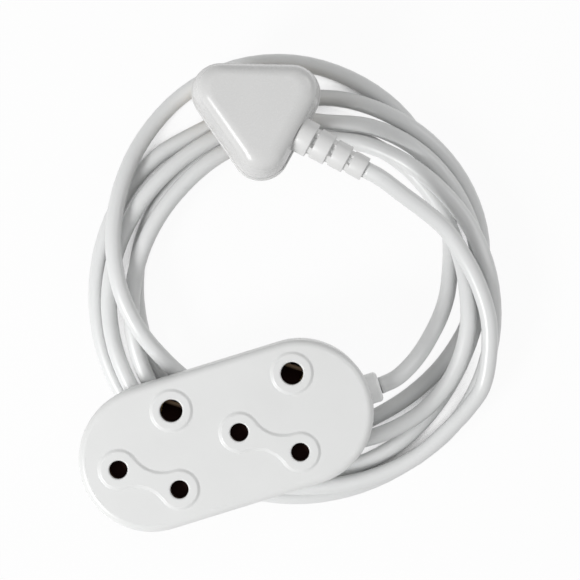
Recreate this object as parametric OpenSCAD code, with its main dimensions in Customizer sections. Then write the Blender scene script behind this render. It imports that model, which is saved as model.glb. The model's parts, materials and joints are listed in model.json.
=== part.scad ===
// Two-way extension lead: a double three-pin socket block lying on its own coiled
// cord, with the moulded three-pin plug resting pins down on the turns.
// Millimetres. X runs along the block to the cord end, Z out of the socket face.
// The origin is the centre of the socket block.

/* [Socket block] */
// Length of the block, end to end
block_l = 120; // [118:1:124]
// Width of the block
block_w = 58; // [57:1:60]
// Height of the block over its raised rims
block_h = 34; // [33:1:38]
// Edge rounding of the socket face
cover_round = 3; // [2:0.5:5]
// Edge rounding of the underside
base_round = 3; // [1:0.5:4]
// Wall thickness of cover and base
wall = 2.5; // [2:0.1:3]
// Height of the raised rims round the sockets
rim_h = 0.8; // [0.4:0.1:1.2]

/* [Socket pattern] */
// Distance between the two outlets
outlet_pitch = 50; // [50:1:52]
// Offset of the outlets from the block's long axis
outlet_off = 4.4; // [4:0.1:5]
// Turn of each outlet about its own centre
outlet_turn = -35.1; // [-37:0.1:-33]
// Live pin to neutral pin
pin_pitch = 25.4; // [25.3:0.1:25.5]
// Earth pin to the line of the other two
earth_off = 28.6; // [28.5:0.1:28.7]
// Live and neutral hole diameter
line_hole_d = 7.2; // [7.1:0.1:7.4]
// Earth hole diameter
earth_hole_d = 8.9; // [8.8:0.1:9.1]

/* [Shutters] */
// Travel from shut to open
shutter_travel = 7.3; // [7:0.1:7.4]
// Thickness of the shutter plate
shutter_t = 2.3; // [2:0.1:2.4]
// Curls in each return spring
spring_curls = 5; // [4:1:6]

/* [Plug] */
// Height of the plug body over its pin face
plug_h = 22; // [20:1:24]
// Corner radius of the plug body at its foot
plug_corner_r = 12; // [11.5:0.5:13]
// Live and neutral pin diameter
line_pin_d = 7.05; // [7:0.01:7.1]
// Live and neutral pin length
line_pin_l = 21.1; // [20.9:0.1:21.2]
// Earth pin diameter
earth_pin_d = 8.7; // [8.6:0.01:8.75]
// Earth pin length
earth_pin_l = 28.6; // [28.4:0.1:28.7]
// Turn of the plug about the upright
plug_turn = -45.5; // [-47:0.5:-44]

/* [Cord] */
// Cord diameter
cord_d = 6.8; // [6.6:0.1:6.8]
// Sides of the coiled tube
coil_sides = 6; // [6:1:8]
// Rings in each loop of the coil
coil_rings = 24; // [20:1:24]

/* [Hidden] */
$fn = 48;

white = [0.93, 0.93, 0.92];
cord_white = [0.86, 0.87, 0.86];
dark = [0.13, 0.11, 0.11];
brass = [0.78, 0.62, 0.32];
steel = [0.7, 0.7, 0.72];
cores = [[0.45, 0.26, 0.14], [0.2, 0.35, 0.65], [0.35, 0.6, 0.25]];

// ---- block levels, from the block's middle
face_z = block_h / 2 - rim_h;
under_z = -block_h / 2;
ceiling_z = face_z - 3;
guide_z = 11;
ledge_z = -4;
bar_z = -9.4;
bar_t = 0.8;
clear = 0.2;
core_d = 2.6;
outlets = [-outlet_pitch / 2 - 0.9, outlet_pitch / 2 - 0.9];
pin_y = -earth_off / 2;
posts = [[-48, 15.5], [-48, -15.5], [3.5, 21.8], [3.5, -21.8], [50.5, 9.5], [50.5, -9.5]];
post_r = 3.2;
terminals = [[39, -14.6], [36, 0], [43.5, 16.1]];

// ---- plug place: the pin plate lies an earth pin's length above the floor
floor_z = -31.2;
plug_at = [47, 123, floor_z + earth_pin_l];
plug_flat = 12.6;
plug_half = 13;
relief_x = 23.7;
relief_l = 29.5;
relief_z = 10;
relief_tip = place_plug([relief_x + relief_l, 0, relief_z]);
gland_l = 4.5;
gland_tip = [block_l / 2 + gland_l, 0, 0];

function place_plug(p) = plug_at
    + [p.x * cos(plug_turn) - p.y * sin(plug_turn), p.x * sin(plug_turn) + p.y * cos(plug_turn), p.z];

// ---- coil: one row a loop, one station every 20 degrees round the coil's middle
coil_at = [44, 49];
coil_zero = -17;
station = 20;
loop_radius = [
    [64, 69, 76.5, 85, 91.2, 94.9, 92.9, 86.8, 79.5, 72.5, 65.5, 60, 59.5, 62.5, 67, 71.5, 75, 74],
    [70.5, 68.5, 68, 67.5, 67, 66.5, 66.5, 66.5, 67, 67, 67.5, 68, 67, 65.5, 64.5, 64.5, 67.5, 72.5],
    [77.5, 81.5, 82, 81, 80, 76.5, 76, 80, 82, 83.5, 85, 86, 87, 88.5, 88.5, 88, 88.5, 85.5],
    [80.5, 75.3, 69.7, 65.8, 61.8, 63, 62.5, 62.5, 64.5, 67.5, 71, 74, 76.5, 78, 79.5, 79.5, 77.5, 76],
    [77, 77.2, 76.2, 73.8, 68.9, 69.8, 70, 71.5, 74.5, 77.5, 79.5, 81, 82.5, 83.5, 84.5, 87, 87.5]];
// height of each station over cord that lies on the floor
loop_rise = [
    [5, 0, 0, 0, 0, 0, 0, 5, 12.5, 15.9, 13.5, 6.5, 7.3, 7.5, 7.5, 7.5, 8.2, 14.6],
    [13.9, 7.9, 5.5, 0, 0, 0, 0, 0, 0, 0, 0, 0, 0, 0, 0, 0, 0, 0],
    [0, 0, 6, 8, 0.5, 0, 0, 0, 0, 0, 0, 0, 0, 0, 0, 0, 0, 7],
    [15.2, 16.1, 16.1, 12.4, 10, 10, 9.5, 8.5, 7.5, 7.5, 7.4, 4.4, 0, 0, 0, 0, 0, 7.3],
    [7.5, 8, 11.3, 11, 7, 7, 6.5, 6.5, 5.5, 5.5, 7, 7.5, 7.5, 7.5, 7.5, 7.7, 9.4]];
radii = [for (row = loop_radius) each row];
rises = [for (row = loop_rise) each row];
coil_turn = (len(radii) - 1) * station;
lying_z = floor_z + 0.4 * cord_d;

// a smooth curve through the stations
function smooth(t, i, u) =
    let (b = t[i], c = t[i + 1], a = i > 0 ? t[i - 1] : 2 * b - c, d = i + 2 < len(t) ? t[i + 2] : 2 * c - b)
    (2 * u ^ 3 - 3 * u ^ 2 + 1) * b + (u ^ 3 - 2 * u ^ 2 + u) * (c - a) / 2
    + (3 * u ^ 2 - 2 * u ^ 3) * c + (u ^ 3 - u ^ 2) * (d - b) / 2;
function coil_point(turn) =
    let (s = turn / station, i = min(floor(s), len(radii) - 2), r = smooth(radii, i, s - i))
    [coil_at.x + r * cos(coil_zero + turn), coil_at.y + r * sin(coil_zero + turn),
        lying_z + max(smooth(rises, i, s - i), 0)];
coil_steps = round(coil_turn * coil_rings / 360);
loops = [for (k = [0:coil_steps]) coil_point(coil_turn * k / coil_steps)];
start_way = toward(coil_point(1) - coil_point(0));
end_way = toward(coil_point(coil_turn) - coil_point(coil_turn - 1));
// the tube's ends run straight for one diameter
coil_path = concat([loops[0] - cord_d * start_way], loops, [loops[coil_steps] + cord_d * end_way]);

// ---- free stretches: block to coil, and coil to plug
lead_route = [[71.5, 0.9, -0.8], [78.5, 3.8, -3.6], [85.5, 8.1, -8.6], [92, 13.3, -15],
    [97.5, 18.6, -19.4]];
tail_route = [[105.2, -14.6, -17], [111.5, -2.5, -13], [115.5, 12.5, -9], [115.5, 27, -7], [113, 40.5, -5],
    [109, 52.5, -2], [102.5, 62.5, 1.5], [96, 71, 4.5]];
first = coil_path[0];
last = coil_path[len(coil_path) - 1];
lead_path = concat([gland_tip, gland_tip + [cord_d / 4, 0, 0]], lead_route,
    [first - cord_d / 4 * start_way, first]);
tail_path = concat([last, last + cord_d / 4 * end_way], tail_route,
    [place_plug([relief_x + relief_l + cord_d, 0, relief_z]), relief_tip]);

// ---- sweeping a polygon along a path
function toward(v) = v / norm(v);
function along(path, i) = toward(path[min(i + 1, len(path) - 1)] - path[max(i - 1, 0)]);
function ring(at, way, r, sides, low) =
    let (side = toward(cross(way, [0, 0, 1])), up = cross(side, way))
    [for (k = [0:sides - 1])
        let (a = 360 * (k + 0.5) / sides - 90, p = at + r * (cos(a) * side + sin(a) * up))
        [p.x, p.y, max(p.z, low)]];
module sweep(path, r, sides, low = -1000) {
    n = len(path);
    points = [for (i = [0:n - 1]) each ring(path[i], along(path, i), r, sides, low)];
    walls = [for (i = [0:n - 2], k = [0:sides - 1])
        let (a = i * sides + k, b = i * sides + (k + 1) % sides)
        each [[a, b, b + sides], [a, b + sides, a + sides]]];
    far = (n - 1) * sides;
    caps = [for (k = [1:sides - 2]) each [[0, k + 1, k], [far, far + k, far + k + 1]]];
    polyhedron(points, concat(walls, caps));
}

// least gap between stretches of the coil that lie over 60 degrees apart, on points along the tube
probe = 12;
probes = [for (k = [0:len(coil_path) - 2], j = [0:probe - 1])
    coil_path[k] + (coil_path[k + 1] - coil_path[k]) * j / probe];
apart = coil_rings * probe / 6;
union() {  // cord_coil
    gaps = [for (k = [0:len(probes) - 1 - apart])
        min([for (j = [k + apart:len(probes) - 1]) norm(probes[k] - probes[j])])];
    echo(least_gap_of_coil = min(gaps) - cord_d);
    echo(cord_length = path_length(lead_path) + path_length(coil_path) + path_length(tail_path));
}
function path_length(p) = sum_from(p, 1);
function sum_from(p, i) = i >= len(p) ? 0 : norm(p[i] - p[i - 1]) + sum_from(p, i + 1);

// ---- shared shapes
// half of the housing: a flat-sided oval with rounded outer edge, from z = 0 up
module oval_half(l, w, h, edge) {
    straight = l - w;
    for (s = [-1, 1])
        translate([s * straight / 2, 0, 0]) rotate_extrude($fn = 96) edge_profile(w / 2, h, edge);
    rotate([90, 0, 90]) linear_extrude(straight, center = true) {
        edge_profile(w / 2, h, edge);
        mirror([1, 0]) edge_profile(w / 2, h, edge);
    }
}
module edge_profile(r, h, edge) {
    square([r, h - edge]);
    square([r - edge, h]);
    translate([r - edge, h - edge]) intersection() {
        circle(edge);
        square(edge);
    }
}
module oval(l, w, h) {
    linear_extrude(h) oval_flat(l, w);
}
module oval_flat(l, w) {
    square([l - w, w], center = true);
    for (s = [-1, 1]) translate([s * (l - w) / 2, 0]) circle(w / 2);
}
module each_outlet() {
    for (x = outlets) at_outlet(x) children();
}
module at_outlet(x) {
    translate([x, outlet_off, 0]) rotate(outlet_turn) children();
}
module each_line_hole() {
    for (s = [-1, 1]) translate([s * pin_pitch / 2, pin_y, 0]) children();
}
module earth_hole() {
    translate([0, pin_y + earth_off, 0]) children();
}
module drill(r, z0, z1) {
    translate([0, 0, z0]) cylinder(r = r, h = z1 - z0);
}
// pan-head screw, head at z = 0 pointing down
module screw(r, l, head_r, head_h) {
    translate([0, 0, -head_h]) difference() {
        cylinder(r = head_r, h = head_h);
        translate([-head_r, -0.4, -0.01]) cube([2 * head_r, 0.8, 0.8]);
    }
    cylinder(r = r, h = l);
}

// ---- socket block
line_rim_r = 7.65;
earth_rim_r = 8.1;
neck_half = 3.5;
mouth = 0.6;
// two round ends joined by a waist that curves in
module line_rim() {
    half = pin_pitch / 2;
    waist_r = (half ^ 2 + neck_half ^ 2 - line_rim_r ^ 2) / (2 * (line_rim_r - neck_half));
    waist_y = neck_half + waist_r;
    share = waist_r / (waist_r + line_rim_r);
    for (s = [-1, 1]) translate([s * half, 0]) circle(line_rim_r);
    difference() {
        square([2 * half * share, 2 * waist_y * (1 - share)], center = true);
        for (s = [-1, 1]) translate([0, s * waist_y]) circle(waist_r, $fn = 96);
    }
}
module mouth_hole(d) {
    drill(d / 2, guide_z - 1, face_z + 3);
    translate([0, 0, block_h / 2 - mouth]) cylinder(r1 = d / 2, r2 = d / 2 + mouth, h = mouth);
    drill(d / 2 + mouth, block_h / 2, face_z + 3);
}
module block_cover() {
    color(white) difference() {
        union() {
            difference() {
                oval_half(block_l, block_w, face_z, cover_round);
                translate([0, 0, -1]) oval(block_l - 2 * wall, block_w - 2 * wall, ceiling_z + 1);
            }
            each_outlet() {
                translate([0, pin_y, face_z - 1]) linear_extrude(rim_h + 1) line_rim();
                earth_hole() drill(earth_rim_r, face_z - 1, block_h / 2);
                each_line_hole() drill(line_hole_d / 2 + 1.4, guide_z, ceiling_z + 1);
                earth_hole() drill(earth_hole_d / 2 + 1.4, guide_z, ceiling_z + 1);
            }
            for (p = posts) translate(p) drill(post_r, 0, ceiling_z + 1);
        }
        each_outlet() {
            each_line_hole() mouth_hole(line_hole_d);
            earth_hole() mouth_hole(earth_hole_d);
        }
        for (p = posts) translate(p) drill(screw_r, -1, screw_top + 1);
        gland_notch();
    }
}
screw_r = 1.5;
screw_top = 8;
head_r = 2.8;
head_deep = 4;
gland_neck_r = 4.6;
collar_r = 6.15;
collar_x = block_l / 2 - 0.8;
flange_x = block_l / 2 - 4.8;
module gland_notch() {
    rotate([0, 90, 0]) {
        drill(gland_neck_r, flange_x, block_l / 2 + 1);
        drill(collar_r, collar_x, block_l / 2 + 1);
    }
}
module block_base() {
    color(white) difference() {
        union() {
            difference() {
                rotate([180, 0, 0]) oval_half(block_l, block_w, -under_z, base_round);
                translate([0, 0, ledge_z]) oval(block_l - 2 * wall, block_w - 2 * wall, 10);
                translate([0, 0, under_z + wall])
                    oval(block_l - 2 * wall - 3, block_w - 2 * wall - 3, -under_z);
            }
            for (p = posts) translate(p) drill(post_r, under_z + 1, 0);
            clamp_seat();
        }
        for (p = posts) translate(p) {
            drill(screw_r, under_z - 1, 1);
            drill(head_r + clear, under_z - 1, under_z + head_deep);
        }
        for (s = [-1, 1]) translate([clamp_x, s * clamp_screw_y, 0]) drill(1.2, clamp_low - 6, 0);
        translate([clamp_x - 10, 0, 0]) rotate([0, 90, 0]) cylinder(r = cord_d / 2, h = 20);
        gland_notch();
    }
}
clamp_x = 45.5;
clamp_w = 4;
clamp_screw_y = 5.8;
clamp_low = -2;
// pillar that the cord lies on under its clamp
module clamp_seat() {
    translate([clamp_x - clamp_w / 2, -8, under_z + 1]) cube([clamp_w, 16, clamp_low - under_z - 1]);
}
module cord_clamp() {
    color(white) difference() {
        translate([clamp_x - clamp_w / 2, -8, clamp_low + 0.5]) cube([clamp_w, 16, 7]);
        translate([clamp_x - 10, 0, 0]) rotate([0, 90, 0]) cylinder(r = cord_d / 2, h = 20);
        for (s = [-1, 1]) translate([clamp_x, s * clamp_screw_y, 0]) drill(1.2, -5, 8);
    }
}
module clamp_screws() {
    color(steel) for (s = [-1, 1])
        translate([clamp_x, s * clamp_screw_y, clamp_low + 7.5]) rotate([180, 0, 0])
            screw(1.2, 12, 2, 1.4);
}
module housing_screws() {
    color(steel) for (p = posts)
        translate([p.x, p.y, under_z + head_deep]) screw(screw_r, screw_top - under_z - head_deep, head_r, 2);
}

// ---- live parts in the block
sleeve_t = 1;
line_sleeve_r = line_hole_d / 2;
earth_sleeve_r = earth_hole_d / 2;
sleeve_top = 5;
track_top = guide_z - clear - shutter_t - 0.1;
module contact_carrier() {
    color([0.85, 0.85, 0.83]) {
        difference() {
            union() {
                intersection() {
                    translate([0, 0, ledge_z])
                        oval(block_l - 2 * wall - 2 * clear, block_w - 2 * wall - 2 * clear, -ledge_z);
                    translate([-block_l / 2, -block_w / 2, ledge_z]) cube([block_l / 2 + 33, block_w, 10]);
                }
                each_outlet() shutter_track();
            }
            for (p = posts) translate(p) drill(post_r + 0.4, ledge_z - 1, 20);
            each_outlet() {
                each_line_hole() drill(line_sleeve_r + sleeve_t, ledge_z - 1, 1);
                earth_hole() drill(earth_sleeve_r + sleeve_t, ledge_z - 1, 1);
            }
        }
    }
}
// two rails under the shutter's arm and the stop behind its spring
rail_y = [-13, 0];
stop_y = -27;
module shutter_track() {
    for (s = [-1, 1])
        translate([s * 3 - 0.8, rail_y[0], -1]) cube([1.6, rail_y[1] - rail_y[0], track_top + 1]);
    translate([-2.5, stop_y - 1.2, -1]) cube([5, 1.2, guide_z]);
}
module sleeve(r, low) {
    difference() {
        drill(r + sleeve_t, low, sleeve_top);
        drill(r, low - 1, sleeve_top + 1);
        translate([-0.4, -20, 1]) cube([0.8, 40, 10]);
    }
}
module contacts_of(side) {
    color(brass) for (x = outlets) at_outlet(x)
        translate([side * pin_pitch / 2, pin_y, 0]) sleeve(line_sleeve_r, bar_z - 0.8);
}
module contacts_live() { contacts_of(1); }
module contacts_neutral() { contacts_of(-1); }
module contacts_earth() {
    color(brass) each_outlet() earth_hole() sleeve(earth_sleeve_r, bar_z - 3);
}
function outlet_point(x, p) = [x + p.x * cos(outlet_turn) - p.y * sin(outlet_turn),
    outlet_off + p.x * sin(outlet_turn) + p.y * cos(outlet_turn)];
// flat strip with an eye round each sleeve and a tab at its terminal
module busbar(local, eye_r, sleeve_r, terminal) {
    eyes = [for (x = outlets) outlet_point(x, local)];
    reach = max(eyes[1].x, terminal.x);
    color(brass) translate([0, 0, bar_z]) linear_extrude(bar_t) difference() {
        union() {
            translate([eyes[0].x, eyes[0].y - 2.2]) square([reach - eyes[0].x, 4.4]);
            for (e = eyes) translate(e) circle(eye_r);
            translate([terminal.x, eyes[0].y]) circle(4);
        }
        for (e = eyes) translate(e) circle(sleeve_r);
        translate([terminal.x, eyes[0].y]) circle(terminal_r);
    }
}
terminal_r = 1.6;
module busbar_live() {
    busbar([pin_pitch / 2, pin_y], 6.4, line_sleeve_r + sleeve_t, terminals[0]);
}
module busbar_neutral() {
    busbar([-pin_pitch / 2, pin_y], 6.4, line_sleeve_r + sleeve_t, terminals[1]);
}
module busbar_earth() {
    busbar([0, pin_y + earth_off], 7.3, earth_sleeve_r + sleeve_t, terminals[2]);
}
module terminal_screws() {
    color(steel) for (p = terminals)
        translate([p.x, p.y, bar_z + bar_t + core_d]) rotate([180, 0, 0])
            screw(terminal_r, core_d + 3, 3, 1.8);
}
// cores from the cord's cut end down to the strips, each ending under its screw's head
core_routes = [
    [[42.5, -1.9, -1], [41.5, -1.9, -1], [40.4, -4.8, -1.3], [38.8, -8.2, -3.2], [36.5, -10.2, -5.5],
        [37.2, -11.6, -7.3], [42, -11.6, -7.3]],
    [[42.5, 0, 1.9], [41.5, 0, 1.9], [39.8, 0, 0.9], [38.7, -0.6, -1.4], [39.6, -2, -3.6],
        [40.3, -3, -5.6], [39.6, -3.3, -7], [38.4, -3.1, -7.3], [33, -3.1, -7.3]],
    [[42.5, 1.9, -1], [41.5, 1.9, -1], [40.8, 4.8, -1.3], [39.8, 8.5, -3.2], [40, 11.3, -5.5],
        [41.6, 13.1, -7.3], [47, 13.1, -7.3]]];
module block_cores() {
    for (k = [0:2]) color(cores[k]) sweep(core_routes[k], core_d / 2, 8);
}
// ---- shutters
pad_r = 4.3;
bridge_half = 3.2;
shutter_z = guide_z - clear - shutter_t;
ramp_front = pin_y + earth_off + 3;
ramp_back = 8;
arm_w = 7.8;
// plate with a pad under each line hole and a ramp under the earth hole
module shutter() {
    color(dark) {
        translate([0, 0, shutter_z]) linear_extrude(shutter_t) {
            for (s = [-1, 1]) translate([s * pin_pitch / 2, pin_y]) circle(pad_r);
            translate([-pin_pitch / 2, pin_y - bridge_half]) square([pin_pitch, 2 * bridge_half]);
            translate([-arm_w / 2, pin_y]) square([arm_w, ramp_back - pin_y]);
        }
        translate([arm_w / 2, 0, 0]) rotate([90, 0, -90]) linear_extrude(arm_w)
            polygon([[-ramp_back, shutter_z], [-ramp_back, shutter_z + shutter_t],
                [-ramp_front, shutter_z - 2.7], [-ramp_front, shutter_z - 3.2]]);
    }
}
module shutter_left() { at_outlet(outlets[0]) shutter(); }
module shutter_right() { at_outlet(outlets[1]) shutter(); }
spring_r = 1.8;
wire_r = 0.2;
module shutter_spring() {
    from = pin_y - bridge_half - wire_r;
    to = stop_y + wire_r;
    steps = spring_curls * 8;
    coil = [for (k = [0:steps]) let (a = 45 * k)
        [spring_r * cos(a), from + (to - from) * k / steps, shutter_z + shutter_t / 2 + spring_r * sin(a)]];
    color(steel) sweep(coil, wire_r, 6);
}
module shutter_spring_left() { at_outlet(outlets[0]) shutter_spring(); }
module shutter_spring_right() { at_outlet(outlets[1]) shutter_spring(); }

// ---- cord entry
module gland() {
    color(white) rotate([0, 90, 0]) difference() {
        union() {
            drill(gland_neck_r, flange_x, collar_x);
            drill(collar_r, flange_x - 2, flange_x);
            translate([0, 0, collar_x]) rotate_extrude() edge_profile(collar_r, gland_tip.x - collar_x, 1.5);
        }
        drill(cord_d / 2, 0, block_l);
    }
}
module block_cord_end() {
    color(cord_white) rotate([0, 90, 0]) drill(cord_d / 2, clamp_x - 3, gland_tip.x);
}

// ---- cord
module cord_lead() { color(cord_white) sweep(lead_path, cord_d / 2, 8); }
module cord_coil() { color(cord_white) sweep(coil_path, cord_d / 2, coil_sides, floor_z); }
module cord_tail() { color(cord_white) sweep(tail_path, cord_d / 2, 8); }

// ---- plug, pins down; X points to its cord
foot_h = 6;
cap_in = 0.7;
cap_top_r = 6.5;
cap_edge = 4;
plate_t = 2.5;
plate_in = 2.2;
corners = [[-plug_flat, 0], [plug_flat, plug_half], [plug_flat, -plug_half]];
boss_r = 7;
shank = 0.4;
tail_top = 8;
module at_plug() {
    translate(plug_at) rotate(plug_turn) children();
}
// rounded triangle: round corners joined by straight sides
module plug_outline(r) {
    hull() for (c = corners) translate(c) circle(r);
}
module cap_corner() {
    r0 = plug_corner_r - cap_in;
    edge_z = plug_h - foot_h - cap_edge;
    rotate_extrude($fn = 32) {
        polygon([[0, 0], [r0, 0], [r0, 1], [cap_top_r + cap_edge, edge_z], [0, edge_z]]);
        translate([cap_top_r, edge_z]) intersection() {
            circle(cap_edge, $fn = 32);
            square(cap_edge);
        }
        square([cap_top_r, plug_h - foot_h]);
    }
}
module plug_body() {
    color(white) at_plug() difference() {
        union() {
            linear_extrude(foot_h) plug_outline(plug_corner_r);
            translate([0, 0, foot_h]) hull() for (c = corners) translate(c) cap_corner();
            translate([0, 0, relief_z]) rotate([0, 90, 0]) drill(boss_r, plug_flat, relief_x);
        }
        translate([0, 0, -1]) linear_extrude(plate_t + 1) plug_outline(plug_corner_r - plate_in);
        translate([0, 0, plate_t - 1]) linear_extrude(relief_z + cord_d / 2 + 0.5 - plate_t + 1)
            plug_outline(plug_corner_r - 5);
        translate([0, 0, relief_z]) rotate([0, 90, 0]) {
            drill(cord_d / 2, 0, relief_x + 5);
            drill(boss_r + 0.5, relief_x, relief_x + 8);
        }
    }
}
module plug_pin_plate() {
    color([0.88, 0.88, 0.87]) at_plug() difference() {
        linear_extrude(plate_t) plug_outline(plug_corner_r - plate_in - 0.05);
        translate([-earth_off / 2, 0, 0]) drill(earth_pin_d / 2 + shank, -1, plate_t + 1);
        for (s = [-1, 1]) translate([earth_off / 2, s * pin_pitch / 2, 0])
            drill(line_pin_d / 2 + shank, -1, plate_t + 1);
    }
}
// solid pin with a bevelled tip below the plate and a slim tail above it
module pin(d, l) {
    tip = 1.2;
    translate([0, 0, -l]) cylinder(r1 = d / 2 - tip, r2 = d / 2, h = tip);
    drill(d / 2, -l + tip, 0);
    drill(d / 2 + shank, 0, plate_t);
    drill(d / 2 + 0.8, plate_t, plate_t + 1);
    difference() {
        drill(2.2, plate_t + 1, tail_top);
        drill(plug_core_r + 0.3, tail_top - 3, tail_top + 1);
    }
}
module plug_pin_live() {
    color(brass) at_plug() translate([earth_off / 2, -pin_pitch / 2, 0]) pin(line_pin_d, line_pin_l);
}
module plug_pin_neutral() {
    color(brass) at_plug() translate([earth_off / 2, pin_pitch / 2, 0]) pin(line_pin_d, line_pin_l);
}
module plug_pin_earth() {
    color(brass) at_plug() translate([-earth_off / 2, 0, 0]) pin(earth_pin_d, earth_pin_l);
}

// strain relief: rounded ribs that shrink to the cord, joined by crossed webs
relief_ribs = 4;
rib_gap = 1.5;
relief_r = [6.6, 4.6];
relief_core_r = 3.9;
web_in = 0.3;
web_t = 3.4;
function rib_r(k) = relief_r[0] + (relief_r[1] - relief_r[0]) * k / (relief_ribs - 1);
module plug_strain_relief() {
    pitch = relief_l / relief_ribs;
    color(white) at_plug() translate([relief_x, 0, relief_z]) rotate([0, 90, 0]) difference() {
        union() {
            cylinder(r = relief_core_r, h = relief_l);
            for (k = [0:relief_ribs - 1]) translate([0, 0, k * pitch]) rib(rib_r(k), pitch - rib_gap);
            for (k = [1:relief_ribs - 1]) translate([0, 0, (k - 0.5) * pitch]) webs(rib_r(k) - web_in, pitch);
        }
        translate([0, 0, -1]) cylinder(r = cord_d / 2, h = relief_l + 2);
    }
}
module webs(r, l) {
    intersection() {
        cylinder(r = r, h = l);
        for (a = [45, -45]) rotate(a) translate([-2 * r, -web_t / 2, 0]) cube([4 * r, web_t, l]);
    }
}
module rib(r, l) {
    rotate_extrude() {
        square([r - 1, l]);
        translate([0, 1]) square([r, l - 2]);
        for (z = [1, l - 1]) translate([r - 1, z]) circle(1, $fn = 24);
    }
}
module plug_cord_end() {
    color(cord_white) at_plug() translate([0, 0, relief_z]) rotate([0, 90, 0])
        drill(cord_d / 2, 10, relief_x + relief_l);
}
module plug_cores() {
    for (k = [0:2]) color(cores[k]) at_plug() sweep(plug_core_route(k), plug_core_r, 8);
}
plug_core_r = 1;
plug_tails = [[earth_off / 2, -pin_pitch / 2], [earth_off / 2, pin_pitch / 2], [-earth_off / 2, 0]];
core_starts = [[10, -1.9, -1], [10, 1.9, -1], [10, 0, 1.4]];
// each core bends over above its pin and drops into the pin's tail
function plug_core_route(k) =
    let (from = core_starts[k] + [0, 0, relief_z], to = plug_tails[k], top = relief_z + 1.6)
    let (back = from.x > to.x ? 1 : -1)
    [from, from + [-3, 0, 0], [(from.x + to.x) / 2 - 5, to.y / 2, top], [to.x + 2 * back, to.y * 0.9, top],
        [to.x + 0.25 * back, to.y, tail_top + 1.5], [to.x, to.y, tail_top - 3]];

block_cover();
block_base();
contact_carrier();
busbar_live();
busbar_neutral();
busbar_earth();
contacts_live();
contacts_neutral();
contacts_earth();
shutter_left();
shutter_right();
shutter_spring_left();
shutter_spring_right();
housing_screws();
terminal_screws();
cord_clamp();
clamp_screws();
gland();
block_cord_end();
block_cores();
cord_lead();
cord_coil();
cord_tail();
plug_body();
plug_pin_plate();
plug_pin_live();
plug_pin_neutral();
plug_pin_earth();
plug_strain_relief();
plug_cord_end();
plug_cores();
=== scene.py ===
"""Looks of a white two-way extension lead: socket block, coiled cord and moulded plug.

Metres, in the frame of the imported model: X along the block to its cord, Z out of the socket face.
"""
import json
import math

import bmesh
import bpy
from mathutils import Matrix, Vector


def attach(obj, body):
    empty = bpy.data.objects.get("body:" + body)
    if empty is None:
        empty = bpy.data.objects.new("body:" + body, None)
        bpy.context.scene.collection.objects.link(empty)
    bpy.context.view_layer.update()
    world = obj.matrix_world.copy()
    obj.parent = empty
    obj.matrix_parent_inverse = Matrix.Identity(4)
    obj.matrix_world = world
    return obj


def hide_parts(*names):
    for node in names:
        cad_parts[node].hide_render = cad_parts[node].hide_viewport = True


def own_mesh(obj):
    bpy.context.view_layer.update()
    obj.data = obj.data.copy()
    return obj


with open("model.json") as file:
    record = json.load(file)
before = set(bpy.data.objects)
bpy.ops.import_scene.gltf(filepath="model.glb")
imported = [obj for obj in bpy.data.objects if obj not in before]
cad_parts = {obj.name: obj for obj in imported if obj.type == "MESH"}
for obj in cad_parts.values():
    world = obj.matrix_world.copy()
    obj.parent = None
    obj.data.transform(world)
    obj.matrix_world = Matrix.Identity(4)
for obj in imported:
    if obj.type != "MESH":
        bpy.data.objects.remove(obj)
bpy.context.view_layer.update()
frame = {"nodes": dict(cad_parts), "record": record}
nodes = frame["nodes"]
slot_of = {part["node"]: part["material_slot"] for part in frame["record"]["subparts"]}
MM = 0.001
LEAD_BODY = "extension_lead"

# ---- places shared with the frame, in millimetres
FLOOR_Z = -31.2
CORD_D = 6.8
GLAND_TIP = (64.5, 0, 0)
PLUG_AT = (47, 123, FLOOR_Z + 28.6)
PLUG_TURN = math.radians(-45.5)
RELIEF_X = 23.7
RELIEF_L = 29.5
RELIEF_Z = 10

# ---- camera: straight down from above the coil, rolled so that the block runs up to the right
EYE = (41.3, 47.8, 717)
ROLL = math.radians(-17.2)
LENS = 110
SENSOR = 36
VIEW_END = 10


def make_camera():
    """Camera looking straight down."""
    data = bpy.data.cameras.new("camera")
    data.lens = LENS
    data.sensor_width = SENSOR
    data.clip_end = VIEW_END
    camera = bpy.data.objects.new("camera", data)
    camera.location = [v * MM for v in EYE]
    camera.rotation_euler = (0, 0, ROLL)
    bpy.context.scene.collection.objects.link(camera)
    bpy.context.scene.camera = camera


# ---- cord route: the same stations as the construction's coil
COIL_AT = (44, 49)
COIL_ZERO = -17
STATION = 20
RINGS_A_TURN = 24
CORD_FINE = 4
CORD_SIDES = 20
LOOP_RADIUS = [
    [64, 69, 76.5, 85, 91.2, 94.9, 92.9, 86.8, 79.5, 72.5, 65.5, 60, 59.5, 62.5, 67, 71.5, 75, 74],
    [70.5, 68.5, 68, 67.5, 67, 66.5, 66.5, 66.5, 67, 67, 67.5, 68, 67, 65.5, 64.5, 64.5, 67.5, 72.5],
    [77.5, 81.5, 82, 81, 80, 76.5, 76, 80, 82, 83.5, 85, 86, 87, 88.5, 88.5, 88, 88.5, 85.5],
    [80.5, 75.3, 69.7, 65.8, 61.8, 63, 62.5, 62.5, 64.5, 67.5, 71, 74, 76.5, 78, 79.5, 79.5, 77.5, 76],
    [77, 77.2, 76.2, 73.8, 68.9, 69.8, 70, 71.5, 74.5, 77.5, 79.5, 81, 82.5, 83.5, 84.5, 87, 87.5],
]
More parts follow.
